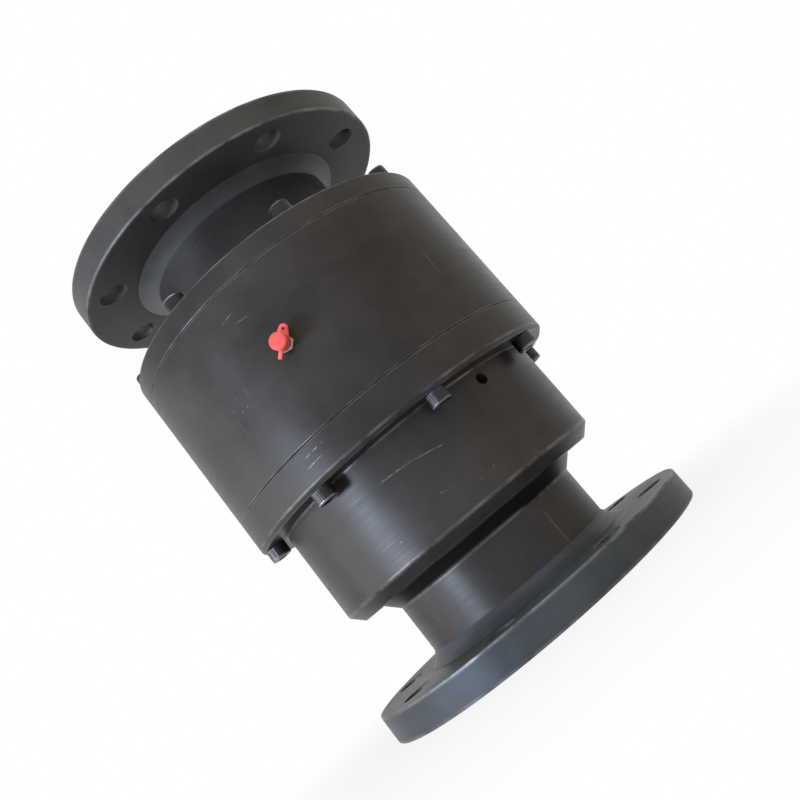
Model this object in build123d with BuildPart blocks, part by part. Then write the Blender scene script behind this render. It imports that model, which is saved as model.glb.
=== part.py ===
from build123d import *
from math import cos, radians, sin, tan
import os

# Flanged hydraulic rotary union. The lower half is the fixed body, which carries the
# bearings and seals, and the tube with the upper flange turns in it.
# Millimetres. The origin is the centre of the lower flange's outer face, +Z runs up
# the axis of rotation.

os.makedirs("parts", exist_ok=True)

# ---- Driving dimensions ----

# Connecting flanges, alike at both ends
flange_diameter = 285
flange_thickness = 22
flange_bolt_circle = 240
flange_hole_diameter = 22
flange_hole_count = 8
flange_edge = 1.2
flange_hole_phase = 31
pipe_setback = 6

# Lengths along the axis, from the lower flange upwards
neck_length = 48.5
neck_cone_height = 10
body_length = 84.5
ring_thickness = 27
housing_length = 118
cover_thickness = 17
exposed_tube_length = 65.5

# Turned diameters
flow_bore = 150
neck_diameter = 165
tube_diameter = 168
body_diameter = 236
housing_diameter = 280
body_corner = 9
ring_corner = 3
seam_edge = 0.7
cut_overrun = 1
body_floor = 9.5
rotor_end_gap = 3

# Welds that hold the flanges
lower_weld_leg = 10
upper_weld_width = 14
upper_weld_height = 8.5

# Cap screws that clamp the cover and the lower ring to the housing
screw_circle = 260
screw_count = 8
screw_phase = 15.5
screw_diameter = 10
screw_head_diameter = 16
screw_head_height = 10
screw_socket = 8
screw_socket_depth = 5
screw_engagement = 18
screw_hole_clearance = 0.5
tapped_hole_extra = 3

# Ball bearings, one at each end of the housing
bearing_bore = 170
bearing_outside = 230
bearing_width = 28
ball_diameter = 17.5
ball_count = 12
ball_play = 0.15
groove_conformity = 1.05
inner_shoulder = 190
outer_shoulder = 211
ring_edge = 1.5
cage_thickness = 5
cage_height = 21
cage_pocket_clearance = 0.15
spacer_wall = 8
spigot_length = 8
spigot_wall = 9
shoulder_height = 7
shoulder_diameter = 188
cover_recess = 2

# Lock nut and tab washer under the lower bearing
nut_height = 14
nut_end_gap = 2
nut_diameter = 196
nut_slot_count = 8
nut_slot_width = 9
nut_slot_depth = 4
washer_thickness = 2
washer_tang_count = 16
washer_tang_width = 6
washer_tang_reach = 4
keyway_width = 7
keyway_depth = 3
nut_cavity = 208

# Seal carrier, the sleeve that holds the seals round the tube's lower end
carrier_outside = 200
bush_start = 8
bush_length = 15
bush_wall = 3.5
first_seal_start = 30
second_seal_start = 46
seal_groove_width = 8
seal_groove_depth = 6
seal_ring_share = 0.4
seal_ring_corner = 0.4
energiser_corner = 1
leak_groove_width = 7
leak_groove_depth = 3
grease_seal_width = 12
grease_seal_wall = 10.5
grease_seal_case = 1.5
carrier_o_ring_starts = (38, 74)
circlip_thickness = 3
circlip_reach = 3
circlip_inset = 3
circlip_opening = 16
circlip_lug = 4
circlip_eye = 2.5
circlip_land = 3

# Static seals
o_ring_section = 3.5
o_ring_groove_width = 4.4
o_ring_corner = 0.85
o_ring_squeeze_gap = 0.05

# Wiper in the top of the cover
wiper_width = 10
wiper_wall = 9.7
wiper_lip_rise = 1.5
wiper_lip_thickness = 2.2

# Leak port in the side of the body, height above the lower flange's outer face
leak_port_height = 155.5
leak_port_diameter = 8.6
leak_port_angle = -54.7
leak_port_overrun = 1
leak_drill_diameter = 6

# Grease nipple in the side of the housing, height above the housing's lower end
nipple_height = 59
nipple_angle = -98.5
nipple_thread = 8
nipple_thread_length = 12
nipple_hex = 11
nipple_hex_height = 5
nipple_neck_diameter = 5.2
nipple_neck_height = 2.6
nipple_head_diameter = 6.6
nipple_head_height = 5.4
nipple_bore = 3
nipple_head_flare = 1.35
nipple_head_waist = 2.7
nipple_end_diameter = 3.6
nipple_mouth_diameter = 1.8
nipple_mouth_depth = 0.9
nipple_mouth_drilling = 2.7
nipple_ball_diameter = 2.7
nipple_ball_travel = 0.8
nipple_spring_wire = 0.4
nipple_spring_turns = 4
nipple_spring_pitch = 1.3
grease_drill_diameter = 5
grease_groove_width = 6
grease_groove_depth = 2

# Push-on dust cap of the nipple, with its eyelet tab and tail
cap_diameter = 12.2
cap_top = 2.4
cap_lip_gap = 0.4
cap_tab_reach = 12.5
cap_tab_radius = 3.3
cap_eyelet = 2.2
cap_tail_reach = 11.2
cap_tail_width = 2.6
cap_tab_thickness = 2
cap_angle = 45
cap_edge = 0.8

# Clearances
turning_gap = 0.3
cover_gap = 0.6
bush_gap = 0.05
seat_gap = 0.05

# ---- Heights that follow ----

flange_top = flange_thickness
neck_top = flange_top + neck_length
body_bottom = neck_top + neck_cone_height
ring_bottom = body_bottom + body_length
ring_top = ring_bottom + ring_thickness
housing_top = ring_top + housing_length
cover_top = housing_top + cover_thickness
upper_flange_bottom = cover_top + exposed_tube_length
union_height = upper_flange_bottom + flange_thickness

carrier_bottom = body_bottom + body_floor
lower_bearing_bottom = ring_top + spigot_length
lower_bearing_top = lower_bearing_bottom + bearing_width
upper_bearing_top = housing_top - spigot_length
upper_bearing_bottom = upper_bearing_top - bearing_width
washer_bottom = lower_bearing_bottom - washer_thickness
nut_bottom = washer_bottom - nut_height
nut_cavity_floor = nut_bottom - nut_end_gap
circlip_top = nut_cavity_floor - circlip_land
carrier_top = circlip_top - circlip_thickness
tube_bottom = carrier_bottom + rotor_end_gap
tube_top = union_height - pipe_setback

# ---- Radii that follow ----

bore_r = flow_bore / 2
neck_r = neck_diameter / 2
tube_r = tube_diameter / 2
body_r = body_diameter / 2
housing_r = housing_diameter / 2
flange_r = flange_diameter / 2
seat_r = bearing_bore / 2
bearing_r = bearing_outside / 2
ball_r = ball_diameter / 2
pitch_r = (seat_r + bearing_r) / 2
carrier_r = carrier_outside / 2
running_r = tube_r + turning_gap
wiper_r = running_r + wiper_wall
nut_cavity_r = nut_cavity / 2
spigot_inner_r = bearing_r - spigot_wall
o_ring_groove_depth = o_ring_section - 2 * o_ring_squeeze_gap


# ---- Helpers ----

def half_section(*points):
    # Closed outline in the plane of radius and height, ready to revolve
    with BuildSketch(Plane.XZ) as section:
        with BuildLine():
            Polyline(*points, close=True)
        make_face()
    return section.sketch


def ring_section(inner, outer, bottom, top, edge=0):
    # Rectangular half section of a ring, with its four corners bevelled
    with BuildSketch(Plane.XZ) as section:
        with Locations(((inner + outer) / 2, (bottom + top) / 2)):
            Rectangle(outer - inner, top - bottom)
        if edge:
            chamfer(section.vertices(), edge)
    return section.sketch


def radial_plane(radius, angle, height):
    # Plane that faces outwards from the axis, its x along the circumference, its y up
    outwards = (cos(radians(angle)), sin(radians(angle)), 0)
    along = (-sin(radians(angle)), cos(radians(angle)), 0)
    origin = (radius * outwards[0], radius * outwards[1], height)
    return Plane(origin=origin, x_dir=along, z_dir=outwards)


nipple_z = ring_top + nipple_height
nipple_plane = radial_plane(housing_r, nipple_angle, nipple_z)
nipple_axis = Axis(nipple_plane.origin, nipple_plane.z_dir)
nipple_side = Plane(nipple_plane.origin, x_dir=nipple_plane.x_dir, z_dir=(0, 0, -1))


def nipple_section(*points):
    # Closed outline beside the nipple's axis: distance from it, height above the housing
    with BuildSketch(nipple_side) as section:
        with BuildLine():
            Polyline(*points, close=True)
        make_face()
    return section.sketch


# ---- Fixed body ----

with BuildPart() as lower_flange:
    revolve(ring_section(neck_r + seat_gap, flange_r, 0, flange_top), axis=Axis.Z)
    rims = lower_flange.edges().filter_by(GeomType.CIRCLE).group_by(SortBy.RADIUS)[-1]
    chamfer(rims, flange_edge)
    with BuildSketch():
        with PolarLocations(flange_bolt_circle / 2, flange_hole_count, flange_hole_phase):
            Circle(flange_hole_diameter / 2)
    extrude(amount=flange_thickness, mode=Mode.SUBTRACT)
lower_flange.part.label = "lower_flange"
export_step(lower_flange.part, "parts/lower_flange.step")

with BuildPart() as lower_outer_weld:
    weld_top = flange_top + lower_weld_leg
    revolve(
        half_section((neck_r, flange_top), (neck_r + lower_weld_leg, flange_top), (neck_r, weld_top)),
        axis=Axis.Z,
    )
lower_outer_weld.part.label = "lower_outer_weld"
export_step(lower_outer_weld.part, "parts/lower_outer_weld.step")

with BuildPart() as lower_inner_weld:
    revolve(
        half_section((neck_r, flange_edge), (neck_r, pipe_setback), (neck_r - pipe_setback, pipe_setback)),
        axis=Axis.Z,
    )
lower_inner_weld.part.label = "lower_inner_weld"
export_step(lower_inner_weld.part, "parts/lower_inner_weld.step")

with BuildPart() as lower_body:
    # Neck, body, screw ring, spigot, nut cavity and seal bore in one turned section
    revolve(
        half_section(
            (bore_r, pipe_setback),
            (neck_r, pipe_setback),
            (neck_r, neck_top),
            (neck_r + neck_cone_height, body_bottom),
            (body_r - body_corner, body_bottom),
            (body_r, body_bottom + body_corner),
            (body_r, ring_bottom),
            (housing_r - ring_corner, ring_bottom),
            (housing_r, ring_bottom + ring_corner),
            (housing_r, ring_top - seam_edge),
            (housing_r - seam_edge, ring_top),
            (bearing_r - seat_gap, ring_top),
            (bearing_r - seat_gap, lower_bearing_bottom),
            (nut_cavity_r, lower_bearing_bottom),
            (nut_cavity_r, nut_cavity_floor),
            (carrier_r, nut_cavity_floor),
            (carrier_r, carrier_bottom),
            (bore_r, carrier_bottom),
        ),
        axis=Axis.Z,
    )
    # Groove of the retaining ring
    revolve(
        ring_section(bore_r, carrier_r + circlip_reach, carrier_top, circlip_top),
        axis=Axis.Z,
        mode=Mode.SUBTRACT,
    )
    # O-ring groove round the spigot
    body_groove_z = ring_top + spigot_length / 2
    revolve(
        ring_section(
            bearing_r - seat_gap - o_ring_groove_depth,
            bearing_r,
            body_groove_z - o_ring_groove_width / 2,
            body_groove_z + o_ring_groove_width / 2,
        ),
        axis=Axis.Z,
        mode=Mode.SUBTRACT,
    )
    # Clearance holes for the screws from below
    with BuildSketch(Plane.XY.offset(ring_bottom)):
        with PolarLocations(screw_circle / 2, screw_count, screw_phase):
            Circle(screw_diameter / 2 + screw_hole_clearance)
    extrude(amount=ring_thickness, mode=Mode.SUBTRACT)
    # Leak port, right through the wall
    with BuildSketch(radial_plane(body_r + leak_port_overrun, leak_port_angle, leak_port_height)):
        Circle(leak_port_diameter / 2)
    extrude(amount=carrier_r - body_r - 2 * leak_port_overrun, mode=Mode.SUBTRACT)
lower_body.part.label = "lower_body"
export_step(lower_body.part, "parts/lower_body.step")

with BuildPart() as housing:
    revolve(ring_section(bearing_r, housing_r, ring_top, housing_top, seam_edge), axis=Axis.Z)
    tapped_depth = screw_engagement + tapped_hole_extra
    for end, direction in ((ring_top, 1), (housing_top, -1)):
        with BuildSketch(Plane.XY.offset(end)):
            with PolarLocations(screw_circle / 2, screw_count, screw_phase):
                Circle(screw_diameter / 2 + seat_gap)
        extrude(amount=direction * tapped_depth, mode=Mode.SUBTRACT)
    # Tapped hole of the grease nipple and the grease drilling behind it
    with BuildSketch(nipple_plane):
        Circle(nipple_thread / 2 + seat_gap)
    extrude(amount=-nipple_thread_length - seat_gap, mode=Mode.SUBTRACT)
    with BuildSketch(nipple_plane):
        Circle(grease_drill_diameter / 2)
    extrude(amount=bearing_r - housing_r - cut_overrun, mode=Mode.SUBTRACT)
housing.part.label = "housing"
export_step(housing.part, "parts/housing.step")

with BuildPart() as top_cover:
    recess_top = housing_top + cover_recess
    wiper_seat = cover_top - wiper_width
    revolve(
        half_section(
            (tube_r + cover_gap, recess_top),
            (spigot_inner_r, recess_top),
            (spigot_inner_r, upper_bearing_top),
            (bearing_r - seat_gap, upper_bearing_top),
            (bearing_r - seat_gap, housing_top),
            (housing_r - seam_edge, housing_top),
            (housing_r, housing_top + seam_edge),
            (housing_r, cover_top - flange_edge),
            (housing_r - flange_edge, cover_top),
            (wiper_r + seat_gap, cover_top),
            (wiper_r + seat_gap, wiper_seat),
            (tube_r + cover_gap, wiper_seat),
        ),
        axis=Axis.Z,
    )
    cover_groove_z = housing_top - spigot_length / 2
    revolve(
        ring_section(
            bearing_r - seat_gap - o_ring_groove_depth,
            bearing_r,
            cover_groove_z - o_ring_groove_width / 2,
            cover_groove_z + o_ring_groove_width / 2,
        ),
        axis=Axis.Z,
        mode=Mode.SUBTRACT,
    )
    with BuildSketch(Plane.XY.offset(housing_top)):
        with PolarLocations(screw_circle / 2, screw_count, screw_phase):
            Circle(screw_diameter / 2 + screw_hole_clearance)
    extrude(amount=cover_thickness, mode=Mode.SUBTRACT)
top_cover.part.label = "top_cover"
export_step(top_cover.part, "parts/top_cover.step")

# ---- Screws ----

# Each row: node name, plane under the head, direction of the shank, clamped thickness
screw_rows = (
    ("top_cover_screws", cover_top, -1, cover_thickness),
    ("lower_ring_screws", ring_bottom, 1, ring_thickness),
)
for screw_name, seat_z, shank_way, clamped in screw_rows:
    with BuildPart() as screws:
        with BuildSketch(Plane.XY.offset(seat_z)):
            with PolarLocations(screw_circle / 2, screw_count, screw_phase):
                Circle(screw_head_diameter / 2)
        extrude(amount=-shank_way * screw_head_height)
        head_face = screws.faces().group_by(Axis.Z)[-1 if shank_way < 0 else 0]
        chamfer(head_face.edges(), seam_edge)
        with BuildSketch(Plane.XY.offset(seat_z - shank_way * screw_head_height)):
            with PolarLocations(screw_circle / 2, screw_count, screw_phase):
                RegularPolygon(screw_socket / 2, 6, major_radius=False)
        extrude(amount=shank_way * screw_socket_depth, mode=Mode.SUBTRACT)
        with BuildSketch(Plane.XY.offset(seat_z)):
            with PolarLocations(screw_circle / 2, screw_count, screw_phase):
                Circle(screw_diameter / 2)
        extrude(amount=shank_way * (clamped + screw_engagement))
    screws.part.label = screw_name
    export_step(screws.part, f"parts/{screw_name}.step")

# ---- Static seals between housing, cover and body ----

for o_ring_name, groove_z in (("cover_o_ring", cover_groove_z), ("body_o_ring", body_groove_z)):
    with BuildPart() as o_ring:
        half_height = o_ring_groove_depth / 2
        revolve(
            ring_section(
                bearing_r - o_ring_groove_depth,
                bearing_r - o_ring_squeeze_gap,
                groove_z - half_height,
                groove_z + half_height,
                o_ring_corner,
            ),
            axis=Axis.Z,
        )
    o_ring.part.label = o_ring_name
    export_step(o_ring.part, f"parts/{o_ring_name}.step")

# ---- Rotating tube with the upper flange ----

with BuildPart() as rotor_tube:
    # Seal journal, thread, bearing seat, shoulder and the exposed tube in one turned section
    shoulder_top = upper_bearing_top + shoulder_height
    thread_start = nut_cavity_floor + circlip_land
    revolve(
        half_section(
            (bore_r, tube_bottom),
            (tube_r - ring_edge, tube_bottom),
            (tube_r, tube_bottom + 2 * ring_edge),
            (tube_r, thread_start - (seat_r - tube_r)),
            (seat_r, thread_start),
            (seat_r, upper_bearing_top),
            (shoulder_diameter / 2, upper_bearing_top),
            (shoulder_diameter / 2, shoulder_top - ring_edge),
            (shoulder_diameter / 2 - ring_edge, shoulder_top),
            (tube_r, shoulder_top),
            (tube_r, tube_top),
            (bore_r, tube_top),
        ),
        axis=Axis.Z,
    )
    # Keyway of the tab washer
    with BuildSketch(Plane.XY.offset(nut_bottom)):
        with Locations((seat_r, 0)):
            Rectangle(2 * keyway_depth, keyway_width)
    extrude(amount=lower_bearing_bottom - nut_bottom, mode=Mode.SUBTRACT)
rotor_tube.part.label = "rotor_tube"
export_step(rotor_tube.part, "parts/rotor_tube.step")

with BuildPart() as upper_flange:
    revolve(
        ring_section(tube_r + seat_gap, flange_r, upper_flange_bottom, union_height),
        axis=Axis.Z,
    )
    rims = upper_flange.edges().filter_by(GeomType.CIRCLE).group_by(SortBy.RADIUS)[-1]
    chamfer(rims, flange_edge)
    with BuildSketch(Plane.XY.offset(upper_flange_bottom)):
        with PolarLocations(flange_bolt_circle / 2, flange_hole_count, flange_hole_phase):
            Circle(flange_hole_diameter / 2)
    extrude(amount=flange_thickness, mode=Mode.SUBTRACT)
upper_flange.part.label = "upper_flange"
export_step(upper_flange.part, "parts/upper_flange.step")

with BuildPart() as upper_outer_weld:
    revolve(
        half_section(
            (tube_r, upper_flange_bottom - upper_weld_height),
            (tube_r + upper_weld_width, upper_flange_bottom),
            (tube_r, upper_flange_bottom),
        ),
        axis=Axis.Z,
    )
upper_outer_weld.part.label = "upper_outer_weld"
export_step(upper_outer_weld.part, "parts/upper_outer_weld.step")

with BuildPart() as upper_inner_weld:
    revolve(
        half_section(
            (tube_r, tube_top),
            (tube_r, union_height - flange_edge),
            (tube_r - pipe_setback, tube_top),
        ),
        axis=Axis.Z,
    )
upper_inner_weld.part.label = "upper_inner_weld"
export_step(upper_inner_weld.part, "parts/upper_inner_weld.step")

# ---- Ball bearings ----

groove_r = ball_r * groove_conformity
inner_groove_centre = pitch_r - ball_r - ball_play + groove_r
outer_groove_centre = pitch_r + ball_r + ball_play - groove_r
for place, bearing_bottom in (("upper", upper_bearing_bottom), ("lower", lower_bearing_bottom)):
    bearing_top = bearing_bottom + bearing_width
    ball_plane = Plane.XY.offset((bearing_bottom + bearing_top) / 2)

    with BuildPart(ball_plane) as inner_ring:
        revolve(
            ring_section(seat_r + seat_gap, inner_shoulder / 2, bearing_bottom, bearing_top, ring_edge),
            axis=Axis.Z,
        )
        Torus(inner_groove_centre, groove_r, mode=Mode.SUBTRACT)
    inner_ring.part.label = f"{place}_bearing_inner_ring"
    export_step(inner_ring.part, f"parts/{place}_bearing_inner_ring.step")

    with BuildPart(ball_plane) as outer_ring:
        revolve(
            ring_section(outer_shoulder / 2, bearing_r - seat_gap, bearing_bottom, bearing_top, ring_edge),
            axis=Axis.Z,
        )
        Torus(outer_groove_centre, groove_r, mode=Mode.SUBTRACT)
    outer_ring.part.label = f"{place}_bearing_outer_ring"
    export_step(outer_ring.part, f"parts/{place}_bearing_outer_ring.step")

    with BuildPart(ball_plane) as balls:
        with PolarLocations(pitch_r, ball_count):
            Sphere(ball_r)
    balls.part.label = f"{place}_bearing_balls"
    export_step(balls.part, f"parts/{place}_bearing_balls.step")

    with BuildPart(ball_plane) as cage:
        Cylinder(pitch_r + cage_thickness / 2, cage_height)
        Cylinder(pitch_r - cage_thickness / 2, cage_height, mode=Mode.SUBTRACT)
        with PolarLocations(pitch_r, ball_count):
            Cylinder(ball_r + cage_pocket_clearance, 2 * cage_thickness, rotation=(0, 90, 0), mode=Mode.SUBTRACT)
    cage.part.label = f"{place}_bearing_cage"
    export_step(cage.part, f"parts/{place}_bearing_cage.step")

with BuildPart() as outer_spacer:
    # Holds the outer rings apart and leads the grease from the nipple inwards
    revolve(
        ring_section(bearing_r - spacer_wall, bearing_r - seat_gap, lower_bearing_top, upper_bearing_bottom),
        axis=Axis.Z,
    )
    revolve(
        ring_section(
            bearing_r - grease_groove_depth,
            bearing_r,
            nipple_z - grease_groove_width / 2,
            nipple_z + grease_groove_width / 2,
        ),
        axis=Axis.Z,
        mode=Mode.SUBTRACT,
    )
    with BuildSketch(radial_plane(bearing_r, nipple_angle, nipple_z)):
        Circle(grease_drill_diameter / 2)
    extrude(amount=-spacer_wall - cut_overrun, mode=Mode.SUBTRACT)
outer_spacer.part.label = "outer_spacer"
export_step(outer_spacer.part, "parts/outer_spacer.step")

with BuildPart() as inner_spacer:
    revolve(
        ring_section(seat_r + seat_gap, seat_r + spacer_wall, lower_bearing_top, upper_bearing_bottom),
        axis=Axis.Z,
    )
inner_spacer.part.label = "inner_spacer"
export_step(inner_spacer.part, "parts/inner_spacer.step")

# ---- Lock nut and tab washer ----

with BuildPart() as lock_nut:
    revolve(
        ring_section(seat_r + seat_gap, nut_diameter / 2, nut_bottom, washer_bottom, seam_edge),
        axis=Axis.Z,
    )
    with BuildSketch(Plane.XY.offset(nut_bottom)):
        with PolarLocations(nut_diameter / 2, nut_slot_count):
            Rectangle(2 * nut_slot_depth, nut_slot_width)
    extrude(amount=nut_height, mode=Mode.SUBTRACT)
lock_nut.part.label = "lock_nut"
export_step(lock_nut.part, "parts/lock_nut.step")

with BuildPart() as lock_washer:
    tang_root = nut_diameter / 2 - nut_slot_depth
    with BuildSketch(Plane.XY.offset(washer_bottom)):
        Circle(tang_root)
        with PolarLocations(tang_root, washer_tang_count):
            Rectangle(2 * washer_tang_reach, washer_tang_width)
        Circle(seat_r + seat_gap, mode=Mode.SUBTRACT)
        with Locations((seat_r, 0)):
            Rectangle(2 * (keyway_depth - turning_gap), keyway_width - 2 * turning_gap)
    extrude(amount=washer_thickness)
lock_washer.part.label = "lock_washer"
export_step(lock_washer.part, "parts/lock_washer.step")

# ---- Seal carrier and the seals round the tube's lower end ----

bush_bottom = carrier_bottom + bush_start
grease_seal_bottom = carrier_top - grease_seal_width
leak_floor = leak_port_height - leak_groove_width / 2
seal_bottoms = [carrier_bottom + start for start in (first_seal_start, second_seal_start)]

with BuildPart() as seal_carrier:
    revolve(ring_section(running_r, carrier_r - seat_gap, carrier_bottom, carrier_top), axis=Axis.Z)
    # Inside: guide bush, two main seals, leak chamber and the grease seal's seat
    inner_cuts = [
        (tube_r + bush_wall + seat_gap, bush_bottom, bush_bottom + bush_length),
        (running_r + leak_groove_depth, leak_floor, leak_floor + leak_groove_width),
        (running_r + grease_seal_wall + seat_gap, grease_seal_bottom, carrier_top),
    ]
    for seal_bottom in seal_bottoms:
        inner_cuts.append((running_r + seal_groove_depth, seal_bottom, seal_bottom + seal_groove_width))
    for cut_r, cut_bottom, cut_top in inner_cuts:
        revolve(ring_section(bore_r, cut_r, cut_bottom, cut_top), axis=Axis.Z, mode=Mode.SUBTRACT)
    # Outside: grooves of the two static O-rings
    for start in carrier_o_ring_starts:
        groove_bottom = carrier_bottom + start
        revolve(
            ring_section(
                carrier_r - seat_gap - o_ring_groove_depth,
                carrier_r,
                groove_bottom,
                groove_bottom + o_ring_groove_width,
            ),
            axis=Axis.Z,
            mode=Mode.SUBTRACT,
        )
    with BuildSketch(radial_plane(carrier_r, leak_port_angle, leak_port_height)):
        Circle(leak_drill_diameter / 2)
    extrude(amount=bore_r - carrier_r, mode=Mode.SUBTRACT)
seal_carrier.part.label = "seal_carrier"
export_step(seal_carrier.part, "parts/seal_carrier.step")

with BuildPart() as carrier_o_rings:
    for start in carrier_o_ring_starts:
        ring_bottom_z = carrier_bottom + start + (o_ring_groove_width - o_ring_groove_depth) / 2
        revolve(
            ring_section(
                carrier_r - o_ring_groove_depth,
                carrier_r - o_ring_squeeze_gap,
                ring_bottom_z,
                ring_bottom_z + o_ring_groove_depth,
                o_ring_corner,
            ),
            axis=Axis.Z,
        )
carrier_o_rings.part.label = "carrier_o_rings"
export_step(carrier_o_rings.part, "parts/carrier_o_rings.step")

with BuildPart() as guide_bush:
    revolve(
        ring_section(tube_r + bush_gap, tube_r + bush_wall, bush_bottom, bush_bottom + bush_length),
        axis=Axis.Z,
    )
guide_bush.part.label = "guide_bush"
export_step(guide_bush.part, "parts/guide_bush.step")

seal_joint_r = running_r + seal_groove_depth * seal_ring_share
for place, seal_bottom in zip(("lower", "upper"), seal_bottoms):
    seal_top = seal_bottom + seal_groove_width
    with BuildPart() as slide_ring:
        revolve(ring_section(running_r, seal_joint_r, seal_bottom, seal_top, seal_ring_corner), axis=Axis.Z)
    slide_ring.part.label = f"{place}_seal_ring"
    export_step(slide_ring.part, f"parts/{place}_seal_ring.step")

    with BuildPart() as energiser:
        revolve(
            ring_section(
                seal_joint_r,
                running_r + seal_groove_depth - o_ring_squeeze_gap,
                seal_bottom,
                seal_top,
                energiser_corner,
            ),
            axis=Axis.Z,
        )
    energiser.part.label = f"{place}_seal_energiser"
    export_step(energiser.part, f"parts/{place}_seal_energiser.step")

with BuildPart() as grease_seal:
    # Radial lip seal: metal-cased back and heel, with the lip towards the bearings
    seal_outer = running_r + grease_seal_wall
    lip_root = running_r + grease_seal_case
    revolve(
        half_section(
            (running_r, grease_seal_bottom + grease_seal_width / 2),
            (lip_root, grease_seal_bottom),
            (seal_outer, grease_seal_bottom),
            (seal_outer, carrier_top),
            (seal_outer - grease_seal_case, carrier_top),
            (seal_outer - grease_seal_case, grease_seal_bottom + grease_seal_width / 4),
            (lip_root + grease_seal_case, grease_seal_bottom + grease_seal_width / 4),
            (lip_root + grease_seal_case, carrier_top - grease_seal_case),
            (running_r, carrier_top - 2 * grease_seal_case),
        ),
        axis=Axis.Z,
    )
grease_seal.part.label = "grease_seal"
export_step(grease_seal.part, "parts/grease_seal.step")

with BuildPart() as carrier_circlip:
    with BuildSketch(Plane.XY.offset(carrier_top)):
        Circle(carrier_r + circlip_reach - seat_gap)
        Circle(carrier_r - circlip_inset, mode=Mode.SUBTRACT)
        with BuildLine():
            reach = carrier_r + 2 * circlip_reach
            rise = reach * tan(radians(circlip_opening / 2))
            Polyline((0, 0), (reach, -rise), (reach, rise), close=True)
        make_face(mode=Mode.SUBTRACT)
        # Lugs with plier eyes on both sides of the opening
        lug_r = carrier_r - circlip_inset
        for side in (-1, 1):
            lug_angle = radians(side * circlip_opening / 2) + side * circlip_lug / lug_r
            with Locations((lug_r * cos(lug_angle), lug_r * sin(lug_angle))):
                Circle(circlip_lug)
                Circle(circlip_eye / 2, mode=Mode.SUBTRACT)
    extrude(amount=circlip_thickness)
carrier_circlip.part.label = "carrier_circlip"
export_step(carrier_circlip.part, "parts/carrier_circlip.step")

with BuildPart() as wiper_seal:
    revolve(
        half_section(
            (running_r + wiper_lip_thickness, wiper_seat),
            (wiper_r, wiper_seat),
            (wiper_r, cover_top),
            (running_r + 2 * wiper_lip_thickness, cover_top),
            (running_r + wiper_lip_thickness / 2, cover_top + wiper_lip_rise),
            (running_r, cover_top + wiper_lip_rise),
            (running_r + wiper_lip_thickness, cover_top - wiper_lip_thickness),
        ),
        axis=Axis.Z,
    )
wiper_seal.part.label = "wiper_seal"
export_step(wiper_seal.part, "parts/wiper_seal.step")

# ---- Grease nipple and its dust cap ----

hex_top = nipple_hex_height
neck_end = hex_top + nipple_neck_height
head_end = neck_end + nipple_head_height

with BuildPart() as grease_nipple:
    revolve(
        nipple_section(
            (0, -nipple_thread_length),
            (nipple_thread / 2, -nipple_thread_length),
            (nipple_thread / 2, 0),
            (nipple_neck_diameter / 2, 0),
            (nipple_neck_diameter / 2, neck_end),
            (nipple_head_diameter / 2, neck_end + nipple_head_flare),
            (nipple_head_diameter / 2, neck_end + nipple_head_waist),
            (nipple_end_diameter / 2, head_end),
            (0, head_end),
        ),
        axis=nipple_axis,
    )
    with BuildSketch(nipple_plane):
        RegularPolygon(nipple_hex / 2, 6, major_radius=False, rotation=cap_angle)
    extrude(amount=nipple_hex_height)
    with BuildSketch(nipple_plane.offset(-nipple_thread_length)):
        Circle(nipple_bore / 2)
    extrude(amount=nipple_thread_length + head_end - nipple_mouth_depth, mode=Mode.SUBTRACT)
    with BuildSketch(nipple_plane.offset(head_end)):
        Circle(nipple_mouth_diameter / 2)
    extrude(amount=-nipple_mouth_drilling, mode=Mode.SUBTRACT)
grease_nipple.part.label = "grease_nipple"
export_step(grease_nipple.part, "parts/grease_nipple.step")

ball_height = head_end - nipple_mouth_depth - nipple_ball_diameter / 2
with BuildPart(nipple_plane.offset(ball_height)) as nipple_ball:
    Sphere(nipple_ball_diameter / 2)
nipple_ball.part.label = "nipple_ball"
export_step(nipple_ball.part, "parts/nipple_ball.step")

with BuildPart() as nipple_spring:
    spring_length = nipple_spring_pitch * nipple_spring_turns
    spring_top = ball_height - nipple_ball_diameter / 2 - nipple_ball_travel - nipple_spring_wire
    spring_r = nipple_bore / 2 - nipple_spring_wire - seat_gap
    spring_foot = nipple_plane.offset(spring_top - spring_length).origin
    with BuildLine():
        coil = Helix(nipple_spring_pitch, spring_length, spring_r, spring_foot, nipple_plane.z_dir)
    with BuildSketch(Plane(coil @ 0, z_dir=coil % 0)):
        Rectangle(nipple_spring_wire, nipple_spring_wire)
    sweep()
nipple_spring.part.label = "nipple_spring"
export_step(nipple_spring.part, "parts/nipple_spring.step")

cap_base = hex_top + cap_lip_gap
cap_ceiling = head_end + turning_gap
cap_end = cap_ceiling + cap_top
cap_r = cap_diameter / 2
tab_centre = cap_tab_reach - cap_tab_radius
with BuildSketch() as cap_outline:
    # Eyelet tab on one side, tail on the other, moulded in one with the cap
    with BuildLine():
        side = Line((0, -cap_r + cap_edge), (tab_centre, -cap_tab_radius))
        tip = ThreePointArc(side @ 1, (cap_tab_reach, 0), (tab_centre, cap_tab_radius))
        back = Line(tip @ 1, (0, cap_r - cap_edge))
        Line(back @ 1, side @ 0)
    make_face()
    with Locations((tab_centre, 0)):
        Circle(cap_eyelet / 2, mode=Mode.SUBTRACT)
    with Locations((-cap_tail_reach / 2, 0)):
        Rectangle(cap_tail_reach, cap_tail_width)

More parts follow.
